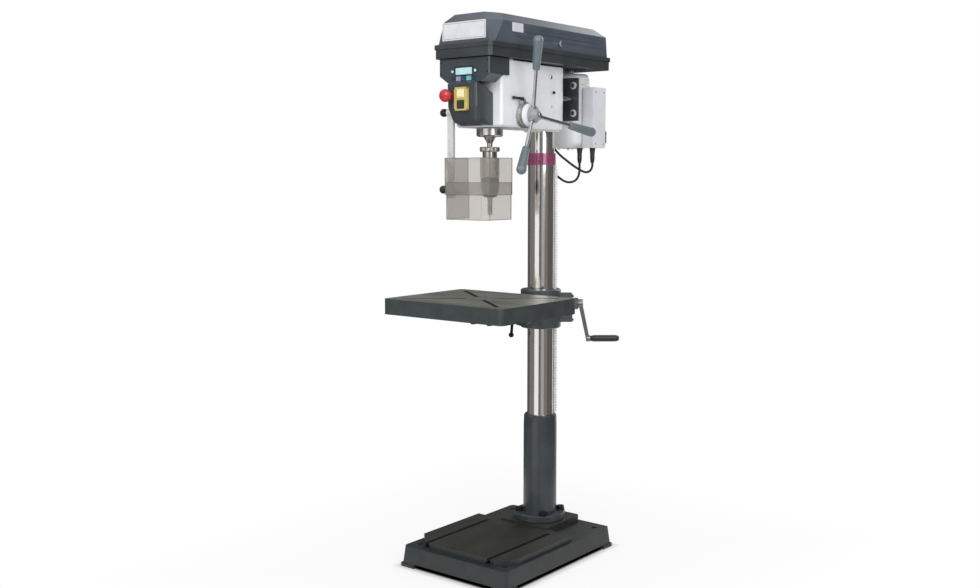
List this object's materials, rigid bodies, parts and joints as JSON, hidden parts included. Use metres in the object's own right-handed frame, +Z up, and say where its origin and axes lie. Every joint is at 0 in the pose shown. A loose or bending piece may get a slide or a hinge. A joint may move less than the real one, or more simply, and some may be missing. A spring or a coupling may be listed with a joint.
{
  "type": "pillar drill",
  "caption": "Floor-standing bench drill with a geared table lift, tilting slotted table, belt drive under a hinged lid, keyless chuck, folded guard and spoked feed.",
  "frame": {"origin": "centre of the column at floor level", "axes": "+Z up along the column, -Y towards the operator, +X to the operator's right (the side of the feed handles)"},
  "size_m": [0.488, 0.789, 1.8025],
  "materials": {
    "dark_casting": "satin paint over a casting",
    "foot_paint": "satin paint",
    "bright_steel": "ground steel",
    "gear_steel": "machined steel",
    "plum_steel": "gloss paint",
    "pale_casting": "smooth gloss paint",
    "black_sheet": "satin paint on sheet steel",
    "lid_plastic": "fine grain",
    "chrome_plate": "polished",
    "panel_plastic": "fine grain",
    "display_lens": "clear lens over a display",
    "teal_plastic": "smooth",
    "yellow_plastic": "smooth",
    "cream_plastic": "smooth",
    "dark_plastic": "smooth",
    "red_plastic": "smooth",
    "cast_aluminium": "turned",
    "belt_rubber": "matte",
    "motor_paint": "satin paint",
    "black_plastic": "matte",
    "pale_plastic": "smooth",
    "grip_plastic": "matte",
    "shield_plastic": "clear smoked sheet",
    "black_steel": "blackened",
    "bracket_paint": "satin paint over a casting",
    "table_casting": "ground top, painted sides",
    "tool_steel": "ground"
  },
  "bodies": {
    "stand": {"base_plate": "dark_casting", "column_foot": "foot_paint", "foot_bolts": "black_steel", "column": "bright_steel", "rack_collar": "plum_steel", "head_casting": "pale_casting", "belt_tray": "black_sheet", "control_panel": "panel_plastic", "display": "display_lens", "switch_plate": "yellow_plastic", "spring_housing": "cast_aluminium", "guard_pivot": "black_plastic", "front_belt": "belt_rubber", "rear_belt": "belt_rubber", "cable_upper": "belt_rubber", "cable_lower": "belt_rubber"},
    "rack_carrier": {"rack": "gear_steel"},
    "bracket": {"table_bracket": "bracket_paint", "tilt_bolt": "gear_steel"},
    "table": {"table": "table_casting"},
    "crank": {"crank": "gear_steel"},
    "crank_grip": {"crank_grip": "black_plastic"},
    "lift_gear": {"lift_pinion": "gear_steel"},
    "clamp_lever": {"clamp_lever": "black_steel"},
    "lid": {"belt_lid": "lid_plastic"},
    "lid_latch": {"lid_knob": "chrome_plate"},
    "key_left": {"key_left": "teal_plastic"},
    "key_middle": {"key_middle": "teal_plastic"},
    "key_right": {"key_right": "teal_plastic"},
    "start_button": {"start_button": "cream_plastic"},
    "stop_button": {"stop_button": "dark_plastic"},
    "estop_button": {"estop_button": "red_plastic"},
    "quill": {"quill": "bright_steel", "spindle_bearings": "gear_steel"},
    "spindle": {"spindle": "bright_steel", "chuck_body": "tool_steel", "drill_bit": "tool_steel"},
    "chuck_sleeve": {"chuck_sleeve": "black_steel"},
    "jaw_1": {"jaw_1": "tool_steel"},
    "jaw_2": {"jaw_2": "tool_steel"},
    "jaw_3": {"jaw_3": "tool_steel"},
    "spindle_pulley": {"spindle_pulley": "cast_aluminium"},
    "idler_arm": {"idler_arm": "gear_steel"},
    "idler_pulley": {"idler_pulley": "cast_aluminium"},
    "motor": {"motor_body": "motor_paint", "motor_plate": "black_sheet", "motor_slide_bars": "bright_steel", "terminal_box": "pale_plastic", "cable_glands": "black_plastic"},
    "rotor": {"motor_pulley": "cast_aluminium"},
    "feed": {"feed_shaft": "gear_steel", "feed_hub": "cast_aluminium", "feed_spokes": "chrome_plate", "feed_grips": "grip_plastic"},
    "depth_dial": {"depth_dial": "cast_aluminium"},
    "dial_clamp": {"dial_clamp": "black_plastic"},
    "guard": {"guard_bar": "cast_aluminium", "shield_upper": "shield_plastic"},
    "lower_shield": {"shield_lower": "shield_plastic"},
    "shield_knob": {"shield_knob": "black_plastic"}
  },
  "joints": [
    {"name": "table_swing", "type": "hinge", "parent": "stand", "child": "rack_carrier", "pos_m": [0, 0, 0.9], "axis": [0, 0, 1], "continuous": true},
    {"name": "table_lift", "type": "slide", "parent": "rack_carrier", "child": "bracket", "axis": [0, 0, 1], "range_m": [-0.3, 0.1]},
    {"name": "table_tilt", "type": "hinge", "parent": "bracket", "child": "table", "pos_m": [0, -0.105, 0.838], "axis": [0, 1, 0], "range_deg": [-45, 45]},
    {"name": "crank_turn", "type": "hinge", "parent": "bracket", "child": "crank", "pos_m": [0.0766, 0.06428, 0.853], "axis": [0.766, 0.6428, 0], "range_deg": [-5730, 1911]},
    {"name": "crank_grip_spin", "type": "hinge", "parent": "crank", "child": "crank_grip", "pos_m": [0.15321, 0.12856, 0.73015], "axis": [0.766, 0.6428, 0], "continuous": true},
    {"name": "lift_pinion_turn", "type": "hinge", "parent": "bracket", "child": "lift_gear", "pos_m": [0.0583, 0.04892, 0.8206], "axis": [0.6428, -0.766, 0], "range_deg": [-819, 274]},
    {"name": "clamp_lever_turn", "type": "hinge", "parent": "bracket", "child": "clamp_lever", "pos_m": [-0.084, 0, 0.812], "axis": [0, 1, 0], "range_deg": [-35, 35]},
    {"name": "lid_open", "type": "hinge", "parent": "stand", "child": "lid", "pos_m": [-0.124, 0, 1.706], "axis": [0, -1, 0], "range_deg": [0, 95]},
    {"name": "lid_latch_turn", "type": "hinge", "parent": "lid", "child": "lid_latch", "pos_m": [0.111, -0.055, 1.728], "axis": [1, 0, 0], "range_deg": [0, 90]},
    {"name": "key_left_press", "type": "slide", "parent": "stand", "child": "key_left", "axis": [0, 1, 0], "range_m": [0, 0.0015], "stiffness_N_per_m": 400, "springref_m": -0.003},
    {"name": "key_middle_press", "type": "slide", "parent": "stand", "child": "key_middle", "axis": [0, 1, 0], "range_m": [0, 0.0015], "stiffness_N_per_m": 400, "springref_m": -0.003},
    {"name": "key_right_press", "type": "slide", "parent": "stand", "child": "key_right", "axis": [0, 1, 0], "range_m": [0, 0.0015], "stiffness_N_per_m": 400, "springref_m": -0.003},
    {"name": "start_press", "type": "slide", "parent": "stand", "child": "start_button", "axis": [0, 1, 0], "range_m": [0, 0.003], "stiffness_N_per_m": 600, "springref_m": -0.003},
    {"name": "stop_press", "type": "slide", "parent": "stand", "child": "stop_button", "axis": [0, 1, 0], "range_m": [0, 0.003], "stiffness_N_per_m": 600, "springref_m": -0.003},
    {"name": "estop_press", "type": "slide", "parent": "stand", "child": "estop_button", "axis": [0, 1, 0], "range_m": [0, 0.005], "stiffness_N_per_m": 1500, "springref_m": -0.004},
    {"name": "quill_feed", "type": "slide", "parent": "stand", "child": "quill", "axis": [0, 0, 1], "range_m": [-0.12, 0], "stiffness_N_per_m": 500, "springref_m": 0.27},
    {"name": "spindle_turn", "type": "hinge", "parent": "quill", "child": "spindle", "pos_m": [0, -0.285, 1.4], "axis": [0, 0, 1], "continuous": true},
    {"name": "chuck_turn", "type": "hinge", "parent": "spindle", "child": "chuck_sleeve", "pos_m": [0, -0.285, 1.25], "axis": [0, 0, 1], "range_deg": [0, 340]},
    {"name": "jaw_1_slide", "type": "slide", "parent": "spindle", "child": "jaw_1", "axis": [0.1219, 0, 0.9925], "range_m": [0, 0.006]},
    {"name": "jaw_2_slide", "type": "slide", "parent": "spindle", "child": "jaw_2", "axis": [-0.0609, 0.1055, 0.9925], "range_m": [0, 0.006]},
    {"name": "jaw_3_slide", "type": "slide", "parent": "spindle", "child": "jaw_3", "axis": [-0.0609, -0.1055, 0.9925], "range_m": [0, 0.006]},
    {"name": "spindle_pulley_turn", "type": "hinge", "parent": "stand", "child": "spindle_pulley", "pos_m": [0, -0.285, 1.7], "axis": [0, 0, 1], "continuous": true},
    {"name": "idler_arm_swing", "type": "hinge", "parent": "stand", "child": "idler_arm", "pos_m": [-0.034, -0.062, 1.67], "axis": [0, 0, 1], "range_deg": [-8, 8], "deforming": ["front_belt", "rear_belt"]},
    {"name": "idler_turn", "type": "hinge", "parent": "idler_arm", "child": "idler_pulley", "pos_m": [0, -0.062, 1.7], "axis": [0, 0, 1], "continuous": true},
    {"name": "motor_slide", "type": "slide", "parent": "stand", "child": "motor", "axis": [0, 1, 0], "range_m": [-0.02, 0], "deforming": ["rear_belt", "cable_upper", "cable_lower"]},
    {"name": "motor_turn", "type": "hinge", "parent": "motor", "child": "rotor", "pos_m": [0, 0.175, 1.7], "axis": [0, 0, 1], "continuous": true},
    {"name": "feed_turn", "type": "hinge", "parent": "stand", "child": "feed", "pos_m": [0.1, -0.2385, 1.488], "axis": [1, 0, 0], "range_deg": [0, 344]},
    {"name": "depth_dial_turn", "type": "hinge", "parent": "feed", "child": "depth_dial", "pos_m": [0.11, -0.2385, 1.488], "axis": [1, 0, 0], "range_deg": [-180, 180]},
    {"name": "dial_clamp_turn", "type": "hinge", "parent": "depth_dial", "child": "dial_clamp", "pos_m": [0.1084, -0.25395, 1.53555], "axis": [0, -0.309, 0.9511], "range_deg": [0, 60]},
    {"name": "guard_flip", "type": "hinge", "parent": "stand", "child": "guard", "pos_m": [-0.07, -0.391, 1.496], "axis": [-1, 0, 0], "range_deg": [0, 100]},
    {"name": "shield_slide", "type": "slide", "parent": "guard", "child": "lower_shield", "axis": [0, 0, 1], "range_m": [-0.01, 0.06]},
    {"name": "shield_knob_turn", "type": "hinge", "parent": "lower_shield", "child": "shield_knob", "pos_m": [-0.1, -0.391, 1.251], "axis": [-1, 0, 0], "continuous": true}
  ],
  "couplings": [
    {"joint": "crank_turn", "follows": "table_lift", "rad_per_m": 333.33},
    {"joint": "lift_pinion_turn", "follows": "table_lift", "rad_per_m": 47.619},
    {"joint": "jaw_1_slide", "follows": "chuck_turn", "m_per_rad": 0.001},
    {"joint": "jaw_2_slide", "follows": "chuck_turn", "m_per_rad": 0.001},
    {"joint": "jaw_3_slide", "follows": "chuck_turn", "m_per_rad": 0.001},
    {"joint": "spindle_pulley_turn", "follows": "spindle_turn", "ratio": 1},
    {"joint": "idler_turn", "follows": "spindle_turn", "ratio": 0.95454},
    {"joint": "motor_turn", "follows": "spindle_turn", "ratio": 0.61091},
    {"joint": "feed_turn", "follows": "quill_feed", "rad_per_m": -50}
  ]
}
